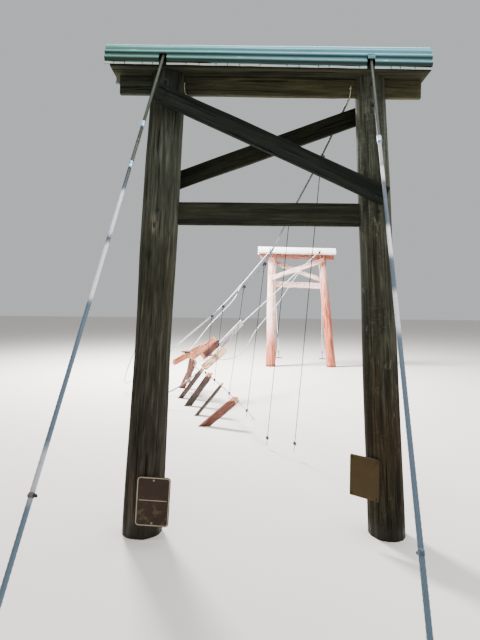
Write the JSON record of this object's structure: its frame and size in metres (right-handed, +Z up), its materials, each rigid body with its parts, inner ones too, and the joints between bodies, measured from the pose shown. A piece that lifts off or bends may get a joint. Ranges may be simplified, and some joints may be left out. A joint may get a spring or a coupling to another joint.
{
  "type": "suspension footbridge",
  "caption": "Flood-damaged timber suspension footbridge: two pole towers with corrugated hoods, two main cables and the torn remains of the deck",
  "frame": {"origin": "under the middle of the whole bridge, level with the water line where the posts end", "axes": "+X right across the towers seen from the near bank, +Y from the near tower to the far tower, +Z up"},
  "size_m": [5.9416, 18.3898, 4.0323],
  "materials": {
    "pole_timber": "weathered grey-brown round poles and sawn boards, wet and stained",
    "sunlit_timber": "red-brown weathered softwood in the light, pale splash line below",
    "deck_timber": "torn, bleached red-brown deck boards",
    "galvanised_sheet": "corrugated galvanised sheet with a blue-green weathered zinc bloom",
    "galvanised_strand": "galvanised wire rope and fittings, dull",
    "anchor_steel": "dark rusted ground plates, rods and sockets",
    "sign_brown": "brown painted plate, faded"
  },
  "bodies": {
    "root": {"deck_board_1": "deck_timber", "deck_board_2": "deck_timber", "deck_board_3": "deck_timber", "deck_board_4": "deck_timber", "deck_board_5": "deck_timber", "deck_board_6": "deck_timber", "edge_cable_left": "galvanised_strand", "edge_cable_right": "galvanised_strand", "far_anchor_left": "anchor_steel", "far_anchor_right": "anchor_steel", "far_brace_front": "sunlit_timber", "far_brace_rear": "sunlit_timber", "far_header": "sunlit_timber", "far_hood": "galvanised_sheet", "far_post_left": "sunlit_timber", "far_post_right": "sunlit_timber", "far_saddle_left": "sunlit_timber", "far_saddle_right": "sunlit_timber", "far_stay_left": "galvanised_strand", "far_stay_right": "galvanised_strand", "far_tie_beam": "sunlit_timber", "far_top_plate": "sunlit_timber", "hanger_left_1": "galvanised_strand", "hanger_left_2": "galvanised_strand", "hanger_left_3": "galvanised_strand", "hanger_left_4": "galvanised_strand", "hanger_left_5": "galvanised_strand", "hanger_right_1": "galvanised_strand", "hanger_right_2": "galvanised_strand", "hanger_right_3": "galvanised_strand", "hanger_right_4": "galvanised_strand", "hanger_right_5": "galvanised_strand", "hanger_right_6": "galvanised_strand", "main_cable_left": "galvanised_strand", "main_cable_right": "galvanised_strand", "near_anchor_left": "anchor_steel", "near_anchor_right": "anchor_steel", "near_brace_front": "pole_timber", "near_brace_rear": "pole_timber", "near_header": "pole_timber", "near_hood": "galvanised_sheet", "near_post_left": "pole_timber", "near_post_right": "pole_timber", "near_saddle_left": "pole_timber", "near_saddle_right": "pole_timber", "near_stay_left": "galvanised_strand", "near_stay_right": "galvanised_strand", "near_tie_beam": "pole_timber", "near_top_plate": "pole_timber", "notice_board": "sign_brown", "sign_plate": "sign_brown", "torn_deck": "sunlit_timber"}
  },
  "joints": []
}
